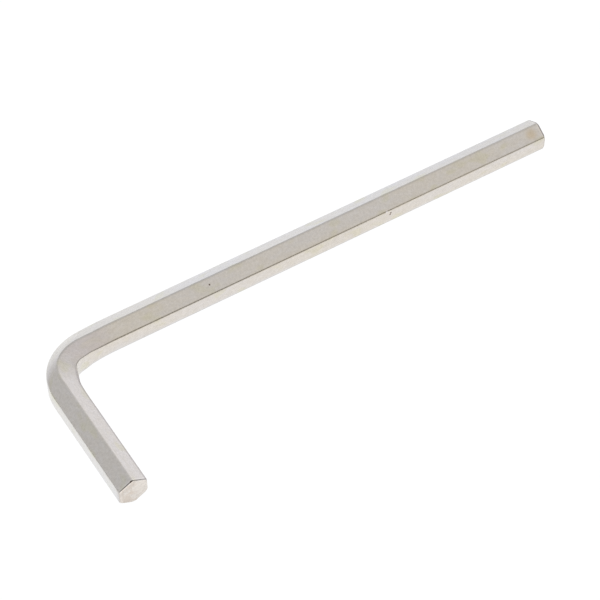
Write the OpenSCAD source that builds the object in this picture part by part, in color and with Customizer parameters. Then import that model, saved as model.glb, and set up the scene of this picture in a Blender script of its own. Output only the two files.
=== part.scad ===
// Hex key: one length of hexagonal bar, cut square at both ends and bent near one of them.
//
// The key lies as it rests on a table, on the lowest edge of each arm. The long arm runs
// along +X and the short arm along -Y. The origin is under the middle of its outline.

/* [Arms] */
// Size across the flats, the size that the key is named by
across_flats = 4; // [3:0.5:8]
// Long arm, from the back of the short arm to the tip
long_arm = 80; // [60:1:200]
// Short arm, from the back of the long arm to the tip
short_arm = 25; // [22:1:60]

/* [Bend] */
// Radius of the inside flat in the bend
inside_r = 4; // [2:0.5:8]

/* [Edges] */
// How much the rounding of the drawn bar takes off each of its edges
edge_loss = 0.045; // [0.01:0.005:0.1]
// Length of the end chamfer along the arm, where it cuts an edge
chamfer = 0.2; // [0.15:0.01:0.6]
// Angle between the chamfer and the axis of the arm
chamfer_angle = 45; // [30:1:50]
// Width of the broken rim along each flat at the tips
rim_break = 0.12; // [0.04:0.01:0.14]

/* [Hidden] */
$fn = 96;

nickel = [0.83, 0.81, 0.78];

// The bar's half sizes: to a flat, to a sharp corner, and to the rounded edge that is left
flat_r = across_flats / 2;
corner_r = flat_r / cos(30);
edge_r = corner_r - edge_loss;

// The bar's axis lies this far above the table, and in plan on these two lines
axis_z = edge_r;
long_axis_y = short_arm / 2 - flat_r;
short_axis_x = flat_r - long_arm / 2;

// The bend turns about one upright line, and each straight run starts level with it
bend_r = inside_r + flat_r;
bend_x = short_axis_x + bend_r;
bend_y = long_axis_y - bend_r;
long_run = long_arm / 2 - bend_x;
short_run = short_arm / 2 + bend_y;

// The bar's section: a hexagon whose corners are rounded off to one circle.
// Two flats are square to X, the inside and the outside of the bend, and Y points up.
module bar_section() {
    intersection() {
        polygon([for (a = [30:60:330]) corner_r * [cos(a), sin(a)]]);
        circle(r = edge_r);
    }
}

// A wide slab along Z under a gable of 45 degrees, whose slopes break the rims of two
// opposite flats: they leave each flat one rim_break short of the tip.
module gable(run) {
    rotate([90, 0, 0])
        linear_extrude(height = 2 * across_flats, center = true)
            polygon([
                [-across_flats, -across_flats],
                [across_flats, -across_flats],
                [across_flats, run - rim_break - flat_r],
                [0, run - rim_break + flat_r],
                [-across_flats, run - rim_break - flat_r],
            ]);
}

// One straight run of bar along Z, from the bend to its tip. The tip is cut square and its
// rim is broken: evenly along the six flats, and deeper on the edges, which a cone takes off.
module straight_run(run) {
    slope = tan(chamfer_angle);
    intersection() {
        linear_extrude(height = run)
            bar_section();
        intersection_for(a = [0, 60, 120])
            rotate([0, 0, a])
                gable(run);
        cylinder(h = run, r1 = edge_r + slope * (run - chamfer), r2 = edge_r - slope * chamfer);
    }
}

// The quarter turn of bar, from along +X to along -Y once it is turned about Z
module quarter_bend() {
    rotate([0, 0, 90])
        rotate_extrude(angle = 90)
            translate([bend_r, 0])
                bar_section();
}

module hex_key() {
    color(nickel)
        translate([0, 0, axis_z]) {
            translate([bend_x, long_axis_y, 0])
                rotate([90, 0, 90])
                    straight_run(long_run);
            translate([bend_x, bend_y, 0])
                quarter_bend();
            translate([short_axis_x, bend_y, 0])
                rotate([90, 0, 0])
                    straight_run(short_run);
        }
}

hex_key();
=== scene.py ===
# %% [markdown]
# # A nickel plated hex key
#
# The real thing is one length of hexagonal steel bar. A mill draws it through a die, which
# leaves six flats with slightly rounded edges between them. It is cut off square, its rims are
# broken, it is bent round a former and plated with nickel.
#
# This lesson makes it in the same order: a slice of bar, the arms and the bend, the rounded
# edges, the tips, the squeeze of the bending and at last the plating. Everything is in metres,
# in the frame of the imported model, so each piece is made where it belongs and never moved.

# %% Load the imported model
import math

import bpy
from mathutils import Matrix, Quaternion, Vector


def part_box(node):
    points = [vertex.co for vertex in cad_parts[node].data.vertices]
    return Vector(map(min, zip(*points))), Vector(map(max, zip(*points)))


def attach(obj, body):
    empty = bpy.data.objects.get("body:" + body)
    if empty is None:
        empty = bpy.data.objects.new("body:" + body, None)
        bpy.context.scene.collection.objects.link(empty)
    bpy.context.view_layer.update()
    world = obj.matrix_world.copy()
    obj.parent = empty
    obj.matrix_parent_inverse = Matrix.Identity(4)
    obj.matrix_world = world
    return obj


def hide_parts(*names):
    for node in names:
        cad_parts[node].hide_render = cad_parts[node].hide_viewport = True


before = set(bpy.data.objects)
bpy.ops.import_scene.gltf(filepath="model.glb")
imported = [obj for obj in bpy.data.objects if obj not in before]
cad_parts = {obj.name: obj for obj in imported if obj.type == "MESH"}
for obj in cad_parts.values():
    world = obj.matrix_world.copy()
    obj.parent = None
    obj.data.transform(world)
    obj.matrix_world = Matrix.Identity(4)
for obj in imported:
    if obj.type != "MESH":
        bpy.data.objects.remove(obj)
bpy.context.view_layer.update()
low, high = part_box("hex_key")
bpy.ops.object.select_all(action="DESELECT")

MM = 0.001
print("the packed key measures", [round(v / MM, 3) for v in high - low], "mm")

# %% [markdown]
# ## The camera
#
# A photograph of straight edges says where it was taken from. I fitted a plain pinhole camera
# to the edges and tips of both arms: it stands 28 cm away behind a long lens, looks down at 51
# degrees and is turned a little about its own axis. It could be set by eye instead, but a tenth
# of a degree already moves the key by almost four pixels. The camera comes first, because each
# later step is judged through it.

# %% Place the camera
VIEW_AZIMUTH = math.radians(-32.664)
VIEW_ELEVATION = math.radians(50.893)
VIEW_ROLL = math.radians(0.759)
VIEW_DISTANCE = 278.505 * MM
VIEW_CENTRE = Vector((-4.472, 2.419, 2.264)) * MM
SENSOR = 36.0
LENS = 126.497

scene = bpy.context.scene
scene.view_settings.view_transform = "Standard"

towards_camera = Vector((
    math.sin(VIEW_AZIMUTH) * math.cos(VIEW_ELEVATION),
    -math.cos(VIEW_AZIMUTH) * math.cos(VIEW_ELEVATION),
    math.sin(VIEW_ELEVATION),
))
camera_data = bpy.data.cameras.new("camera")
camera_data.sensor_width = SENSOR
camera_data.lens = LENS
camera_data.clip_start = 10 * MM
camera = bpy.data.objects.new("camera", camera_data)
camera.rotation_mode = "QUATERNION"
camera.location = VIEW_CENTRE + towards_camera * VIEW_DISTANCE
level = (-towards_camera).to_track_quat("-Z", "Y")
camera.rotation_quaternion = level @ Quaternion((0, 0, 1), VIEW_ROLL)
scene.collection.objects.link(camera)
scene.camera = camera
print("the camera stands at", [round(v / MM, 1) for v in camera.location], "mm")

# %% [markdown]
# ## A small language for shader nodes
#
# Materials are graphs of nodes, and a graph is hard to read in a script. So one small class
# wraps a socket: adding or multiplying wires adds the Math nodes, and `add` makes any other
# node from its settings and inputs. A material then reads like the formula that it is.

# %% The wire class
class Wire:
    """An output socket in a node tree, which can be used in sums and products."""

    def __init__(self, tree, socket=None):
        self.tree = tree
        self.socket = socket

    def add(self, kind, settings=None, sockets=None, out=0):
        """Makes a node, first its settings and then its inputs, and returns one output."""
        node = self.tree.nodes.new(kind)
        for name, value in (settings or {}).items():
            setattr(node, name, value)
        for name, value in (sockets or {}).items():
            if isinstance(value, Wire):
                self.tree.links.new(value.socket, node.inputs[name])
            else:
                node.inputs[name].default_value = value
        return Wire(self.tree, node.outputs[out] if node.outputs else None)

    def maths(self, operation, first, second):
        """Adds a Math node for two numbers or wires."""
        return self.add("ShaderNodeMath", {"operation": operation}, {0: first, 1: second})

    def __add__(self, other):
        return self.maths("ADD", self, other)

    def __radd__(self, other):
        return self.maths("ADD", other, self)

    def __sub__(self, other):
        return self.maths("SUBTRACT", self, other)

    def __rsub__(self, other):
        return self.maths("SUBTRACT", other, self)

    def __mul__(self, other):
        return self.maths("MULTIPLY", self, other)

    def __rmul__(self, other):
        return self.maths("MULTIPLY", other, self)


print("wires can be added, subtracted and multiplied")


# %% Nodes that every tree here uses
def grey(value):
    """An opaque grey, as the four numbers that a colour socket takes."""
    return (value, value, value, 1.0)


def blank(owner):
    """A wire into the emptied node tree of a material or a world."""
    owner.use_nodes = True
    owner.node_tree.nodes.clear()
    return Wire(owner.node_tree)


def step_up(wire, value, start, end):
    """A mask that rises smoothly from 0 at start to 1 at end."""
    return wire.add(
        "ShaderNodeMapRange",
        {"interpolation_type": "SMOOTHSTEP"},
        {"Value": value, "From Min": start, "From Max": end},
    )


def blend(wire, factor, first, second, how="MIX"):
    """Mixes two colours, plainly or by another of the Mix node's modes."""
    return wire.add(
        "ShaderNodeMix",
        {"data_type": "RGBA", "blend_type": how},
        {0: factor, 6: first, 7: second},
        out=2,
    )


def vector_maths(wire, operation, first, second, out=0):
    """Adds a Vector Math node, whose output 0 is a vector and "Value" a number."""
    settings = {"operation": operation}
    return wire.add("ShaderNodeVectorMath", settings, {0: first, 1: second}, out=out)


print("shader helpers are ready")

# %% [markdown]
# ## The studio
#
# Metal has hardly any colour of its own: it shows the room. In the photograph each flat of the
# bar is one even tone, so each tone tells what that flat mirrors. The table is white. A low
# white wall stands behind the key and rises to its right. The ceiling is pale grey, lighter to
# the right and warmer in front, and the room on the camera's side is dark, which draws the thin
# dark lines along the rounded edges.
#
# Cards and lamps could stand round the key, as in a real studio. Here the world is written as
# that room, from the direction of the ray, because then the tone of each flat can be set by
# itself. The camera itself sees plain white, so the room never shows behind the key.

# %% The tones of the room
DARK_TONE = grey(0.18)
WALL_TONE = (0.835, 0.836, 0.905, 1.0)
SIDE_TONE = (0.980, 0.960, 0.990, 1.0)
CEILING_TONE = (0.600, 0.588, 0.590, 1.0)
MIDDLE_TONE = (0.690, 0.672, 0.665, 1.0)
RIGHT_TONE = (0.735, 0.708, 0.700, 1.0)
WARM_TONE = (0.735, 0.694, 0.640, 1.0)
print("the walls and the ceiling have 7 tones")

# %% [markdown]
# A direction has a length of 1, so its X says how far it points to the right and its Z how far
# up. Each span below is the stretch of such a number over which one tone turns into the next.

# %% Light the room
WALL_AXIS = (0.358, 0.934, 0.0)
WARM_AXIS = (0.34, -0.41, 0.846)
CAMERA_SIDE = (-0.25, -0.93, 0.27)
WALL_SPAN = (0.30, 0.50)
SIDE_SPAN = (0.40, 0.90)
MIDDLE_SPAN = (-0.10, 0.50)
WARM_SPAN = (0.72, 0.98)
RIGHT_SPAN = (0.40, 0.60)
CAMERA_SPAN = (0.68, 0.84)
WALL_FOOT = -0.02
WALL_TOP = 0.27
WALL_RISE = 0.58
RISE_SPAN = (0.20, 0.75)

world = bpy.data.worlds.new("studio")
scene.world = world
sky = blank(world)
direction = sky.add("ShaderNodeTexCoord", out="Generated")
sideways = sky.add("ShaderNodeSeparateXYZ", sockets={0: direction}, out="X")
height = sky.add("ShaderNodeSeparateXYZ", sockets={0: direction}, out="Z")
facing_wall = vector_maths(sky, "DOT_PRODUCT", direction, WALL_AXIS, out="Value")
facing_warm = vector_maths(sky, "DOT_PRODUCT", direction, WARM_AXIS, out="Value")
facing_camera = vector_maths(sky, "DOT_PRODUCT", direction, CAMERA_SIDE, out="Value")
white_wall = blend(sky, step_up(sky, sideways, *SIDE_SPAN), WALL_TONE, SIDE_TONE)
walls = blend(sky, step_up(sky, facing_wall, *WALL_SPAN), DARK_TONE, white_wall)
ceiling = blend(sky, step_up(sky, sideways, *MIDDLE_SPAN), CEILING_TONE, MIDDLE_TONE)
ceiling = blend(sky, step_up(sky, facing_warm, *WARM_SPAN), ceiling, WARM_TONE)
ceiling = blend(sky, step_up(sky, sideways, *RIGHT_SPAN), ceiling, RIGHT_TONE)
wall_top = WALL_TOP + step_up(sky, sideways, *RISE_SPAN) * WALL_RISE
room = blend(sky, step_up(sky, height, WALL_FOOT, wall_top), walls, ceiling)
room = blend(sky, step_up(sky, facing_camera, *CAMERA_SPAN), room, DARK_TONE)
seen = blend(sky, sky.add("ShaderNodeLightPath", out="Is Camera Ray"), room, grey(1.0))
lit = sky.add("ShaderNodeBackground", sockets={"Color": seen, "Strength": 1.0})
sky.add("ShaderNodeOutputWorld", sockets={"Surface": lit})
print("the room has", len(world.node_tree.nodes), "nodes")

# %% [markdown]
# The table is a pale sheet. It is a little lit by the room, which gives the key its soft
# shadow, and the rest of its white is its own light, which only the camera and mirrored rays
# see. So the table is white in the picture and in the metal, and adds no light to the key. A
# plain white sheet would be simpler, but it would need so much light that the key's own tones
# burn out. In the metal it fades a little away from the key, as a sheet does outside the pool
# of the lamps.

# %% Lay the table
TABLE_SIZE = 3.0
TABLE_LIT = 0.14
TABLE_GLOW = 0.95
TABLE_FADE = 0.115
POOL_START = 36 * MM
POOL_END = 52 * MM
GLOW_TONE = (1.0, 1.005, 1.02, 1.0)

bpy.ops.mesh.primitive_plane_add(size=TABLE_SIZE, location=(0, 0, low.z))
table = bpy.context.object
table.name = "table"
paper = bpy.data.materials.new("paper")
sheet = blank(paper)
camera_ray = sheet.add("ShaderNodeLightPath", out="Is Camera Ray")
mirrored_ray = sheet.add("ShaderNodeLightPath", out="Is Glossy Ray")
lit_part = sheet.add("ShaderNodeBsdfDiffuse", sockets={"Color": grey(TABLE_LIT)})
on_table = sheet.add("ShaderNodeTexCoord", out="Object")
away = vector_maths(sheet, "LENGTH", on_table, (0.0, 0.0, 0.0), out="Value")
faded = 1.0 - step_up(sheet, away, POOL_START, POOL_END) * TABLE_FADE
glow = sheet.add(
    "ShaderNodeEmission",
    sockets={"Color": GLOW_TONE, "Strength": (camera_ray + mirrored_ray * faded) * TABLE_GLOW},
)
both = sheet.add("ShaderNodeAddShader", sockets={0: lit_part, 1: glow})
sheet.add("ShaderNodeOutputMaterial", sockets={"Surface": both})
table.data.materials.append(paper)
bpy.ops.object.select_all(action="DESELECT")
print("the table is", TABLE_SIZE, "m wide")

# %% [markdown]
# ## The bar's sizes
#
# A key is named by its size across the flats, 4 mm here. The overall lengths come from the
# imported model's box, so the piece made here ends exactly where the solid does.

# %% Sizes of the bar and the bend
ACROSS_FLATS = 4.0 * MM
INSIDE_RADIUS = 4.0 * MM
EDGE_FILLET = 0.29 * MM
THIRTY = math.radians(30)

flat_r = ACROSS_FLATS / 2
corner_r = flat_r / math.cos(THIRTY)
edge_r = corner_r - EDGE_FILLET * (1 / math.cos(THIRTY) - 1)
axis_z = low.z + (high.z - low.z) / 2
long_y = high.y - flat_r
short_x = low.x + flat_r
bend_r = INSIDE_RADIUS + flat_r
bend_x = short_x + bend_r
bend_y = long_y - bend_r
long_run = high.x - bend_x
short_run = bend_y - low.y
print("straight runs", round(long_run / MM, 3), "and", round(short_run / MM, 3), "mm")

# %% [markdown]
# ## Drawing and bending the bar
#
# The slice is a circle with six sides, stood up at the long tip with two flats upright, as the
# key lies on its edges. An extrusion pulls the long arm out of it, a spin of a quarter turn
# bends it, and another extrusion makes the short arm. One slice swept all the way keeps every
# edge in one unbroken line, which three joined pieces wouldn't. The last stretch of each arm
# before the bend is pulled in short steps, because the squeeze of the bending reaches into it.

# %% Cut the slice and sweep it
BEND_STEPS = 40
LEAD = 4.0 * MM
LEAD_STEPS = 6
TOUCHING = 0.0001 * MM


def pull(x, y, steps=1):
    """Extrudes the selected end of the bar by x and y, in equal steps."""
    move = {"value": (x / steps, y / steps, 0)}
    for _ in range(steps):
        bpy.ops.mesh.extrude_region_move(TRANSFORM_OT_translate=move)


bpy.ops.mesh.primitive_circle_add(
    vertices=6,
    radius=corner_r,
    fill_type="NGON",
    location=(high.x, long_y, axis_z),
    rotation=(math.pi / 2, 0, math.pi / 2),
)
bar = bpy.context.object
bar.name = "bent_bar"
bpy.ops.object.transform_apply(location=True, rotation=True, scale=True)
bpy.ops.object.mode_set(mode="EDIT")
bpy.ops.mesh.select_all(action="SELECT")
pull(LEAD - long_run, 0)
pull(-LEAD, 0, LEAD_STEPS)
bpy.ops.mesh.spin(
    steps=BEND_STEPS, angle=math.pi / 2, center=(bend_x, bend_y, axis_z), axis=(0, 0, -1)
)
pull(0, -LEAD, LEAD_STEPS)
pull(0, LEAD - short_run)
bpy.ops.mesh.select_all(action="SELECT")
bpy.ops.mesh.remove_doubles(threshold=TOUCHING)
bpy.ops.mesh.normals_make_consistent(inside=False)
bpy.ops.object.mode_set(mode="OBJECT")
print("the swept bar has", len(bar.data.vertices), "points")


# %% [markdown]
# Every later step asks the same question of a point: how far along the bar is it, and where in
# the section? That is the bar as it was before bending, so one function straightens it again.

# %% Straighten a point
def straightened(point):
    """Distance from the long tip, distance towards the inside of the bend, and height."""
    rise = point.z - axis_z
    if point.x >= bend_x:
        return Vector((high.x - point.x, long_y - point.y, rise))
    if point.y <= bend_y:
        along = long_run + bend_r * math.pi / 2 + bend_y - point.y
        return Vector((along, point.x - short_x, rise))
    out = Vector((bend_x - point.x, point.y - bend_y))
    return Vector((long_run + bend_r * math.atan2(out.x, out.y), bend_r - out.length, rise))


bar_length = long_run + bend_r * math.pi / 2 + short_run
print("the straight bar was", round(bar_length / MM, 2), "mm long")

# %% [markdown]
# ## Rounded edges
#
# The die leaves a small radius on each long edge. A bevel by angle would find the edges of the
# two ends as well. So the six long edges get a bevel weight, and a Bevel modifier limited to it
# leaves the ends as they are cut.

# %% Round the six long edges
FILLET_STEPS = 6
SAME = 0.01 * MM

weights = bar.data.attributes.new("bevel_weight_edge", "FLOAT", "EDGE")
for edge in bar.data.edges:
    ends = [straightened(bar.data.vertices[i].co) for i in edge.vertices]
    runs_along = (ends[0].yz - ends[1].yz).length < SAME
    weights.data[edge.index].value = float(runs_along)
bpy.context.view_layer.objects.active = bar
bar.select_set(True)
rounding = bar.modifiers.new("rounding", "BEVEL")
rounding.limit_method = "WEIGHT"
rounding.offset_type = "OFFSET"
rounding.width = EDGE_FILLET * math.tan(THIRTY)
rounding.segments = FILLET_STEPS
rounding.use_clamp_overlap = False
bpy.ops.object.modifier_apply(modifier=rounding.name)
print("rounded, the bar has", len(bar.data.polygons), "faces")

# %% [markdown]
# ## The rims of the tips
#
# A cut end is sharp enough to scratch, so its rim is broken in a tumbling barrel. A second
# weighted bevel would fold over itself where the rim meets the rounded edges. So each tip's rim
# edges are selected by their place, and one bevel in edit mode rounds them.

# %% Break both rims
RIM_BREAK = 0.12 * MM
RIM_STEPS = 4


def on_tip(point):
    """Whether a point lies in the plane of one of the two end faces."""
    return point.x > high.x - SAME or point.y < low.y + SAME


for edge in bar.data.edges:
    edge.select = all(on_tip(bar.data.vertices[i].co) for i in edge.vertices)
print("the two rims have", sum(edge.select for edge in bar.data.edges), "edges")
bpy.context.tool_settings.mesh_select_mode = (False, True, False)
bpy.ops.object.mode_set(mode="EDIT")
bpy.ops.mesh.bevel(
    offset_type="OFFSET", offset=RIM_BREAK, segments=RIM_STEPS, affect="EDGES", clamp_overlap=False
)
bpy.ops.object.mode_set(mode="OBJECT")
print("with broken rims, the bar has", len(bar.data.polygons), "faces")

# %% [markdown]
# The shear that crops the bar rolls the rim of the upper flats over, and leaves the rim below
# them nearly sharp. A narrower bevel below would meet the wide one in a step. So there each
# point of the rim goes back towards the sharp corner instead: outwards in the section and out
# to the tip's plane, both by the same share of its distance.

# %% Leave the lower rim keen
KEEN = 0.35
KEEN_BELOW = 1.04 * MM
ROLLED_ABOVE = 1.22 * MM

moved = 0
for vertex in bar.data.vertices:
    on_long = vertex.co.x > high.x - RIM_BREAK + SAME
    on_short = vertex.co.y < low.y + RIM_BREAK - SAME
    if on_long or on_short:
        out = Vector((1, 0, 0)) if on_long else Vector((0, -1, 0))
        depth = high.x - vertex.co.x if on_long else vertex.co.y - low.y
        inset = RIM_BREAK - math.sqrt(max(depth * (2 * RIM_BREAK - depth), 0.0))
        rise = vertex.co.z - axis_z
        keenness = min(max((ROLLED_ABOVE - rise) / (ROLLED_ABOVE - KEEN_BELOW), 0.0), 1.0)
        back = (1 - KEEN) * keenness
        sideways = (vertex.normal - vertex.normal.dot(out) * out).normalized()
        vertex.co += back * (depth * out + inset * sideways)
        moved += back > 0
print("moved", moved, "points of the two rims")

# %% [markdown]
# The six corners of each rim are clipped. That is the work of a chamfering head, a block with
# a conical hole like a pencil sharpener's. It is made from a cylinder and a cone, and a Boolean
# takes it away from the tip. The hole is round and the bar isn't, so it takes off the corners
# and leaves the flats alone, which a bevel of the corners wouldn't do by itself. The head went
# a little deeper on the long tip.

# %% Make the chamfering head and take the corners off
LONG_CHAMFER = 0.20 * MM
SHORT_CHAMFER = 0.14 * MM
HEAD_SIDES = 192
HEAD_RADIUS = 1.5 * corner_r
HEAD_DEPTH = 2.0 * MM
HOLE_DEPTH = 3.0 * MM
SLIVER = 0.002 * MM


def cut_away(target, tool):
    """Takes the tool's solid away from the target and deletes the tool."""
    cut = target.modifiers.new("cut", "BOOLEAN")
    cut.operation = "DIFFERENCE"
    cut.solver = "EXACT"
    cut.object = tool
    bpy.ops.object.select_all(action="DESELECT")
    bpy.context.view_layer.objects.active = target
    target.select_set(True)
    bpy.ops.object.modifier_apply(modifier=cut.name)
    bpy.data.objects.remove(tool)


def turn_tip(tip, rotation, chamfer):
    """Turns a chamfer on the bar's end at tip, where local Z points out of the bar."""
    face_r = edge_r - chamfer
    place = {"location": tip, "rotation": rotation}
    bpy.ops.mesh.primitive_cylinder_add(
        vertices=HEAD_SIDES, radius=HEAD_RADIUS, depth=HEAD_DEPTH, **place
    )
    head = bpy.context.object
    bpy.ops.mesh.primitive_cone_add(
        vertices=HEAD_SIDES,
        radius1=face_r + HOLE_DEPTH / 2,
        radius2=face_r - HOLE_DEPTH / 2,
        depth=HOLE_DEPTH,
        **place,
    )
    cut_away(head, bpy.context.object)
    cut_away(bar, head)


turn_tip((high.x, long_y, axis_z), (0, math.pi / 2, 0), LONG_CHAMFER)
turn_tip((short_x, low.y, axis_z), (math.pi / 2, 0, 0), SHORT_CHAMFER)
bpy.ops.object.mode_set(mode="EDIT")
bpy.ops.mesh.select_all(action="SELECT")
bpy.ops.mesh.remove_doubles(threshold=SLIVER)
bpy.ops.object.mode_set(mode="OBJECT")
print("turned, the bar has", len(bar.data.polygons), "faces")

# %% [markdown]
# ## The straight bar's coordinates
#
# The drawing leaves lines that follow the bar round the bend. Plain object coordinates would
# run them straight on, out of the bend. A pattern that turns with the bar needs the coordinates
# of the straight bar, in millimetres, so they are stored on the points as an attribute, before
# the bend is squeezed out of shape.

# %% Store the coordinates
drawn = bar.data.attributes.new("drawn", "FLOAT_VECTOR", "POINT")
for vertex in bar.data.vertices:
    drawn.data[vertex.index].vector = straightened(vertex.co) / MM
print("stored", len(drawn.data), "coordinates in mm")

# %% [markdown]
# ## The squeeze in the bend
#
# Bending squeezes the bar, and four things show in the photograph. The upper edge runs nearer
# to the outside than in a perfect sweep: that line of the bar bends on a tighter radius of its
# own, so its points slide to another arc. The whole bar sags a little towards the inside where
# the bend begins. The flat on the inside grows taller there, as the bending presses it together
# lengthwise. And the former dents that flat in the middle of the bend, behind which it bulges.
#
# Sculpting could do this by eye. Written as sums it stays smooth and small, and each part of it
# can be set by itself. All but the first rise and fade along the bar as humps of a cosine.

# %% Squeeze the bend
RIDGE_EXTRA = -1.35 * MM
SAG = 0.17 * MM
SAG_CENTRE = long_run + 1.3 * MM
SAG_REACH = 4.6 * MM
PINCH = 0.27 * MM
PINCH_CENTRE = long_run + 4.5 * MM
PINCH_REACH = 2.9 * MM
BULGE = 0.17 * MM
BULGE_CENTRE = long_run + 7.3 * MM
BULGE_REACH = 4.0 * MM
GROWTH = 0.25 * MM
GROWTH_CENTRE = long_run + 2.9 * MM
GROWTH_REACH = 5.0 * MM


def hump(value, centre, reach):
    """1 at the centre, fading smoothly to 0 at the reach on either side of it."""
    return 0.5 + 0.5 * math.cos(math.pi * min(abs(value - centre) / reach, 1.0))


for vertex in bar.data.vertices:
    along, inward, rise = straightened(vertex.co)
    turn = min(max((along - long_run) / bend_r, 0.0), math.pi / 2)
    outward = Vector((-math.sin(turn), math.cos(turn), 0))
    if long_run - SAME < along < bar_length - short_run + SAME:
        extra = RIDGE_EXTRA * (1 - min(abs(inward) / flat_r, 1.0))
        vertex.co += extra * Vector((1 - math.sin(turn), math.cos(turn) - 1, 0))
    inner = max(inward / flat_r, 0.0)
    push = PINCH * hump(along, PINCH_CENTRE, PINCH_REACH)
    push -= BULGE * hump(along, BULGE_CENTRE, BULGE_REACH)
    vertex.co += (inner * push - SAG * hump(along, SAG_CENTRE, SAG_REACH)) * outward
    pressed = inner * math.copysign(min(abs(rise) / (flat_r / 2), 1.0), rise)
    vertex.co.z += GROWTH * hump(along, GROWTH_CENTRE, GROWTH_REACH) * pressed
print("squeezed the bend")

# %% [markdown]
# ## The plating
#
# Nickel is a slightly warm white metal. Plated over drawn bar it keeps the bar's fine
# lengthwise lines and a faint grain, and it clouds from warm to cool over a few centimetres,
# with a few olive patches. All of that is quiet: about one percent each.
#
# One even colour would be easier, but it looks like a drawing of a bar. A painted picture would
# need a skin laid out flat. Noise that is read at the straight bar's coordinates needs neither,
# and it runs round the bend with the drawing lines. Each pattern has so many grains per
# millimetre, few along the bar and more across it where it is drawn out into lines.

# %% Patterns that follow the bar
CLOUDS = (0.06, 0.30, 0.30)
PATCHES = (0.33, 0.60, 0.60)
MOTTLE = (0.9, 1.5, 1.5)
STREAKS = (0.05, 6.0, 6.0)
GRAIN = (3.2, 3.2, 3.2)


def streamed(wire, place, grain, detail=2.0):
    """Noise from 0 to 1 with so many grains per millimetre along, across and up the bar."""
    stretched = vector_maths(wire, "MULTIPLY", place, grain)
    sockets = {"Vector": stretched, "Scale": 1.0, "Detail": detail}
    return wire.add("ShaderNodeTexNoise", sockets=sockets)


plate = bpy.data.materials.new("nickel_plate")
skin = blank(plate)
place = skin.add("ShaderNodeAttribute", {"attribute_name": "drawn"}, out="Vector")
clouds = streamed(skin, place, CLOUDS, detail=1.0)
patches = streamed(skin, place, PATCHES, detail=1.0)
mottle = streamed(skin, place, MOTTLE)
streaks = streamed(skin, place, STREAKS)
grain = streamed(skin, place, GRAIN, detail=1.0)
print("the plating has 5 patterns and", len(plate.node_tree.nodes), "nodes so far")

# %% [markdown]
# What does show from a step away is a dark line along the lower edge of the upper inner flat. It
# is painted shade, where that edge would mirror the shadowed table and the dark room, tinted as
# the dirt of the drawing: a thin brown line on the long arm and a wider grey one on the short arm,
# where fingers hold it. Fainter lines of painted shade follow the edge below it and, up to the
# bend, the top edge.
#
# Each line of shade and dirt gets a mask, 1 where it lies. A spot round one point of the section,
# with the distance along the bar left out, is a line along the whole bar, and a step along the
# bar ends it. Painting the lines by hand could do the same, but not so thin and straight.

# %% Where the painted shade and the dirt lie
CORNER_LINE = ((0.0, 1.96, 1.16), 0.22)
SHORT_ARM_LINE = ((0.0, 1.96, 1.16), 0.36)
LOWER_LINE = ((0.0, 1.96, -1.16), 0.36)
RIDGE_LINE = ((0.0, 0.04, 2.27), 0.24)
INTO_BEND = (68.0, 75.0)
OUT_OF_BEND = (76.0, 79.0)
CORNER_IN_BEND = 0.3


def step_down(wire, value, start, end):
    """A mask that falls smoothly from 1 at start to 0 at end."""
    return 1.0 - step_up(wire, value, start, end)


def spot(wire, place, centre, radius, core=0.3):
    """A round mask, 1 up to the core's share of its radius and 0 at its radius in millimetres."""
    reach = vector_maths(wire, "DISTANCE", place, centre, out="Value")
    return step_down(wire, reach, core * radius, radius)


along = skin.add("ShaderNodeSeparateXYZ", sockets={0: place}, out="X")
inward = skin.add("ShaderNodeSeparateXYZ", sockets={0: place}, out="Y")
rise = skin.add("ShaderNodeSeparateXYZ", sockets={0: place}, out="Z")
section = vector_maths(skin, "MULTIPLY", place, (0.0, 1.0, 1.0))
before_bend = step_down(skin, along, *INTO_BEND)
after_bend = step_up(skin, along, *OUT_OF_BEND)
corner_strength = CORNER_IN_BEND + before_bend * (1.0 - CORNER_IN_BEND)
# Painted shade along the edges, tinted as dirt: the corner, short arm, lower and ridge lines.
corner_mask = spot(skin, section, *CORNER_LINE) * corner_strength
short_arm_mask = spot(skin, section, *SHORT_ARM_LINE) * after_bend
lower_mask = spot(skin, section, *LOWER_LINE)
ridge_mask = spot(skin, section, *RIDGE_LINE) * (1.0 - after_bend)
print("with the masks of the dirt, the plating has", len(plate.node_tree.nodes), "nodes")

# %% [markdown]
# The rolled rims of the tips get painted shade, which deepens their reflection of the dark room,
# beside a painted highlight, a bright line. Both are strong on the upper flats and faint below
# them. The painted shade is weaker towards the outside of the bend, and weaker yet on the inner
# side of the short tip. The outer flat of the short tip ends in a band of painted shade. These
# masks are steps along the bar, counted from the nearer tip.

# %% Where the rims get painted shade and highlight
LONG_RIM_START = 0.12
RIM_END = (0.08, 0.13)
HIGHLIGHT_START = (0.12, 0.16)
HIGHLIGHT_END = (0.20, 0.34)
UPPER = (0.9, 1.2)
UNDER_STRENGTH = 0.2
SHORT_TIP = (90.0, 91.0)
INNER_SIDE = (-0.2, 0.4)
INNER_LOSS = 0.45
OUTER_SIDE = (-1.6, -0.3)
OUTER_LOSS = 0.35
OUTER_FLAT = (-1.95, -1.80)
END_BAND_SPAN = (0.40, 0.70)

to_short_tip = bar_length / MM - along
from_tip = skin.maths("MINIMUM", along - LONG_RIM_START, to_short_tip)
upper = UNDER_STRENGTH + step_up(skin, rise, *UPPER) * (1.0 - UNDER_STRENGTH)
inner_short = step_up(skin, along, *SHORT_TIP) * step_up(skin, inward, *INNER_SIDE)
outer_side = step_down(skin, inward, *OUTER_SIDE)
dark_strength = upper * (1.0 - inner_short * INNER_LOSS) * (1.0 - outer_side * OUTER_LOSS)
# Painted shade along the rims of the tips.
rim_shade_mask = dark_strength * step_down(skin, from_tip, *RIM_END)
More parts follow.
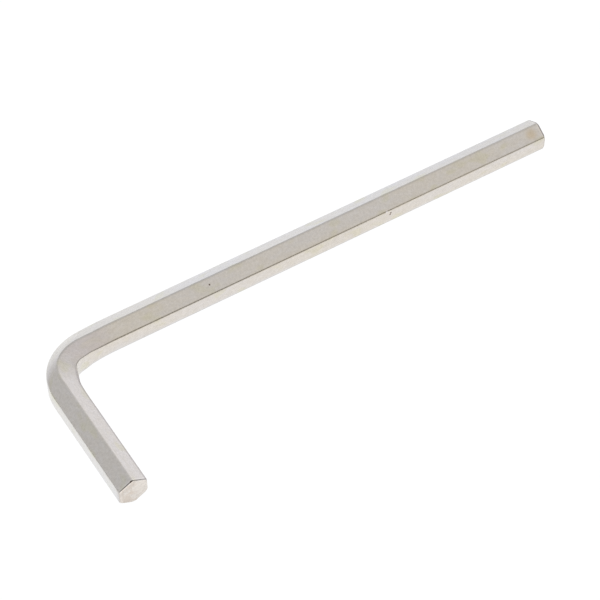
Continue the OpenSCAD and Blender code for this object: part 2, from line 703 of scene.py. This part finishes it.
# Painted highlight: a bright line beside the rims.
rim_highlight = step_up(skin, from_tip, *HIGHLIGHT_START) * step_down(skin, from_tip, *HIGHLIGHT_END)
rim_highlight_mask = upper * rim_highlight
# Painted shade in a band at the end of the outer flat of the short tip.
end_band_shade_mask = step_down(skin, inward, *OUTER_FLAT) * step_down(skin, to_short_tip, *END_BAND_SPAN)
print("with the masks of the rims, it has", len(plate.node_tree.nodes), "nodes")

# %% [markdown]
# The colours go over one another, each multiplied into the last one where its mask is 1. So a
# tone says what a place does to the light: 1 leaves it as it is and 0.9 takes a tenth away. A
# plain mix would hide the patterns below it, which a product keeps.
#
# The nickel comes first, with its clouds and patches. The inner flat, which faces the inside of
# the bend, gets a painted warm reflection, less of it from the bend on. The upper inner flat is a
# little cooler where it goes round the bend.

# %% Colour of the plate
NICKEL = (0.762, 0.745, 0.720, 1.0)
WARM_CAST = (1.008, 1.000, 0.976, 1.0)
COOL_CAST = (0.992, 1.000, 1.022, 1.0)
OLIVE = (0.965, 0.968, 0.870, 1.0)
OLIVE_STRENGTH = 0.8
CLOUD_EDGE = (0.38, 0.72)
PATCH_EDGE = (0.56, 0.68)
MOTTLE_EDGE = (0.40, 0.65)
INSIDE_WARM_REFLECTION = (0.960, 0.915, 0.860, 1.0)
INSIDE_FLAT = (1.90, 2.02)
INSIDE_RISE = (-1.5, -0.5)
INSIDE_BEND = (73.0, 75.5)
INSIDE_LOSS = 0.4
BEND_CAST = (0.955, 0.945, 1.000, 1.0)
BEND_SPOT = ((72.8, 1.10, 1.67), 5.0)
SLANTED_START = (-0.1, 0.3)
SLANTED_END = (1.90, 2.00)


def scaled(wire, colour, value):
    """A colour made lighter or darker by a value near 1."""
    return blend(wire, 1.0, colour, value, how="MULTIPLY")


def cast(wire, mask, colour, tone):
    """A colour multiplied by a tone where the mask is 1."""
    return blend(wire, mask, colour, tone, how="MULTIPLY")


clouded = blend(skin, step_up(skin, clouds, *CLOUD_EDGE), WARM_CAST, COOL_CAST)
colour = cast(skin, 1.0, NICKEL, clouded)
colour = cast(skin, step_up(skin, patches, *PATCH_EDGE) * OLIVE_STRENGTH, colour, OLIVE)
colour = cast(skin, step_up(skin, mottle, *MOTTLE_EDGE), colour, COOL_CAST)
# Painted warm reflection on the inner flat.
inside = step_up(skin, inward, *INSIDE_FLAT) * step_up(skin, rise, *INSIDE_RISE)
inside = inside * (1.0 - step_up(skin, along, *INSIDE_BEND) * INSIDE_LOSS)
colour = cast(skin, inside, colour, INSIDE_WARM_REFLECTION)
slanted = step_up(skin, inward, *SLANTED_START) * step_down(skin, inward, *SLANTED_END)
colour = cast(skin, spot(skin, place, *BEND_SPOT) * slanted, colour, BEND_CAST)
colour = scaled(skin, colour, 0.800 + mottle * 0.12 + streaks * 0.05 + grain * 0.23)
print("the nickel reflects", NICKEL[0], "of red light and", NICKEL[2], "of blue")

# %% [markdown]
# The painted shade along the edges, tinted as dirt, and the painted shade and highlight of the
# rims take their colours from the masks made before.

# %% Colour of the painted shade, the dirt and the rims
# Painted shade along the edges, each line tinted as dirt.
CORNER_SHADE_AND_DIRT = (0.95, 0.91, 0.83, 1.0)
SHORT_ARM_SHADE_AND_DIRT = (0.73, 0.72, 0.75, 1.0)
LOWER_SHADE_AND_DIRT = (0.90, 0.91, 0.93, 1.0)
RIDGE_SHADE_AND_DIRT = (0.87, 0.87, 0.86, 1.0)
# Painted shade of the rolled rims and of the band at the end of the outer flat.
RIM_SHADE = (0.58, 0.55, 0.56, 1.0)
END_BAND_SHADE = (0.900, 0.885, 0.875, 1.0)
# Painted highlight: a bright line beside the rims.
RIM_HIGHLIGHT_GAIN = 0.14

shade_dirt_and_rims = (
    (corner_mask, CORNER_SHADE_AND_DIRT),
    (short_arm_mask, SHORT_ARM_SHADE_AND_DIRT),
    (lower_mask, LOWER_SHADE_AND_DIRT),
    (ridge_mask, RIDGE_SHADE_AND_DIRT),
    (rim_shade_mask, RIM_SHADE),
    (end_band_shade_mask, END_BAND_SHADE),
)
# Each mask multiplies in its tone: painted shade, partly tinted as dirt.
for mask, tone in shade_dirt_and_rims:
    colour = cast(skin, mask, colour, tone)
colour = scaled(skin, colour, 1.0 + rim_highlight_mask * RIM_HIGHLIGHT_GAIN)
print("laid", len(shade_dirt_and_rims), "tones of dirt and wear over the nickel")

# %% [markdown]
# Use has left a few marks, each at its own place: a brown stain by the long tip, a pale nick in
# the dark line along the edge, and four dark pits, two of them side by side below the nick. They
# are spots about one point of the bar. Holes cut into the mesh would be more real, but the pits
# are a third of a millimetre wide, so a dip in the relief is enough for them.

# %% Stain, nick and pits
STAIN = (0.95, 0.86, 0.72, 1.0)
STAIN_SPOT = ((1.8, 0.95, 1.76), 1.3)
NICK = (0.990, 0.940, 0.930, 1.0)
NICK_SPOT = ((26.7, 1.96, 1.16), 0.25)
PIT = (0.14, 0.09, 0.06, 1.0)
PITS = (
    ((26.15, 2.00, 0.34), 0.18),
    ((26.05, 2.00, 0.61), 0.18),
    ((54.03, 0.86, 1.81), 0.15),
    ((bar_length / MM, -0.20, 2.19), 0.22),
)

stain_mask = spot(skin, place, *STAIN_SPOT, core=0.1) * (0.5 + mottle)
colour = cast(skin, stain_mask, colour, STAIN)
colour = blend(skin, spot(skin, place, *NICK_SPOT), colour, NICK)
dip = None
for centre, radius in PITS:
    pit_mask = spot(skin, place, centre, radius, core=0.4)
    colour = blend(skin, pit_mask, colour, PIT)
    dip = pit_mask if dip is None else dip + pit_mask
print("marked the bar with", len(PITS), "pits, a nick and a stain")

# %% [markdown]
# Plating is smooth but not polished: it mirrors the room a little blurred, and more so in the
# dirt and on the rims. Its lines and grain are two thousandths of a millimetre high. Such a
# relief is far too fine for a mesh, so a Bump node tilts the normals instead.

# %% Shine and relief of the plate
PLATE_RELIEF = 0.002 * MM


def bump(wire, relief, distance):
    """Normals of a surface whose relief of 1 is so many metres high."""
    sockets = {"Strength": 1.0, "Distance": distance, "Height": relief}
    return wire.add("ShaderNodeBump", sockets=sockets, out="Normal")


roughness = 0.20 + mottle * 0.05 + streaks * 0.04 + corner_mask * 0.10 + rim_shade_mask * 0.10
relief = streaks * 0.6 + mottle * 0.6 + grain * 0.3 - dip * 6.0
bumped = bump(skin, relief, PLATE_RELIEF)
metal = skin.add(
    "ShaderNodeBsdfPrincipled",
    sockets={"Base Color": colour, "Metallic": 1.0, "Roughness": roughness, "Normal": bumped},
)
skin.add("ShaderNodeOutputMaterial", sockets={"Surface": metal})
bar.data.materials.append(plate)
print("the plating has", len(plate.node_tree.nodes), "nodes")

# %% [markdown]
# ## The cropped ends
#
# The shear tears the end face more than it cuts it. The plating covers it thinly: it is duller,
# creamier and blotchy, with dark specks. Along the rim under the upper flat, where the blade came
# in, a bright line is painted as a highlight, with a greyer band below it. Along the outer flat
# the rim gets painted shade, a cool grey band, with a painted highlight, a light line, inside it.
#
# One material with one more mask could do both. A second material in the same finish is easier
# to read, and its faces are simply those that lie in the plane of a tip.

# %% Patterns on the end faces
BLOTCHES = (0.8, 1.5, 1.5)
GRIT = (4.0, 4.0, 4.0)
TEARS = (1.0, 2.5, 6.0)
BLADE_FLAT = (0.0, -0.5, 0.866)
END_HIGHLIGHT_SPAN = (1.60, 1.78)
GREY_BAND = (0.7, 1.2)
OUTER_RIM = (-1.92, -1.84)
LINE_END = (-1.68, -1.42)

cropped = bpy.data.materials.new("cropped_end")
torn = blank(cropped)
place = torn.add("ShaderNodeAttribute", {"attribute_name": "drawn"}, out="Vector")
inward = torn.add("ShaderNodeSeparateXYZ", sockets={0: place}, out="Y")
rise = torn.add("ShaderNodeSeparateXYZ", sockets={0: place}, out="Z")
blotches = streamed(torn, place, BLOTCHES)
grit = streamed(torn, place, GRIT, detail=3.0)
tears = streamed(torn, place, TEARS)
under_blade = vector_maths(torn, "DOT_PRODUCT", place, BLADE_FLAT, out="Value")
end_highlight = step_up(torn, under_blade, *END_HIGHLIGHT_SPAN)
greyer = step_up(torn, under_blade, *GREY_BAND) * (1.0 - end_highlight)
outer_rim = step_down(torn, inward, *OUTER_RIM)
outer_highlight = step_up(torn, inward, *OUTER_RIM) * step_down(torn, inward, *LINE_END)
print("the end faces have 3 patterns and", len(cropped.node_tree.nodes), "nodes so far")

# %% Dull plate on the end faces
CREAM = (0.795, 0.745, 0.685, 1.0)
PEACH = (0.725, 0.650, 0.575, 1.0)
SPECK = (0.62, 0.58, 0.54, 1.0)
BLOTCH_EDGE = (0.40, 0.64)
SPECK_EDGE = (0.57, 0.66)
SPECK_STRENGTH = 0.55
OUTER_GREY = (0.985, 1.010, 1.035, 1.0)
OUTER_HIGHLIGHT = (1.110, 1.140, 1.170, 1.0)
TORN_RELIEF = 0.006 * MM
SMALLEST_END = MM * MM

colour = blend(torn, step_up(torn, blotches - inward * 0.12, *BLOTCH_EDGE), CREAM, PEACH)
colour = blend(torn, step_up(torn, grit, *SPECK_EDGE) * SPECK_STRENGTH, colour, SPECK)
# Painted highlight along the rim under the upper flat, with a greyer band below it; the face is
# also a little lighter towards the top.
colour = scaled(torn, colour, 0.89 + tears * 0.26 + end_highlight * 0.18 - greyer * 0.08 + rise * 0.035)
# Painted shade, a grey band, at the rim along the outer flat, and a painted highlight, a light
# line, inside it.
colour = cast(torn, outer_rim, colour, OUTER_GREY)
colour = cast(torn, outer_highlight, colour, OUTER_HIGHLIGHT)
roughness = 0.32 + grit * 0.12
bumped = bump(torn, grit * 1.5 + tears * 1.5, TORN_RELIEF)
metal = torn.add(
    "ShaderNodeBsdfPrincipled",
    sockets={"Base Color": colour, "Metallic": 1.0, "Roughness": roughness, "Normal": bumped},
)
torn.add("ShaderNodeOutputMaterial", sockets={"Surface": metal})
bar.data.materials.append(cropped)
for face in bar.data.polygons:
    face.material_index = int(on_tip(face.center) and face.area > SMALLEST_END)
print("the end faces are", sum(face.material_index for face in bar.data.polygons), "faces")

# %% [markdown]
# ## Handing over
#
# Shading is smooth over the rounded edges and sharp at the rims, and face area weighs the
# normals so that the flats stay flat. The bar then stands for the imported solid.

# %% Smooth, ride and replace
SMOOTH_BELOW = math.radians(25)

bpy.ops.object.select_all(action="DESELECT")
bpy.context.view_layer.objects.active = bar
bar.select_set(True)
bpy.ops.object.shade_smooth_by_angle(angle=SMOOTH_BELOW)
weighting = bar.modifiers.new("weighting", "WEIGHTED_NORMAL")
weighting.keep_sharp = True
bpy.ops.object.modifier_apply(modifier=weighting.name)
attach(bar, "root")
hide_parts("hex_key")
print("the bar stands for the packed key, with", len(bar.data.polygons), "faces")
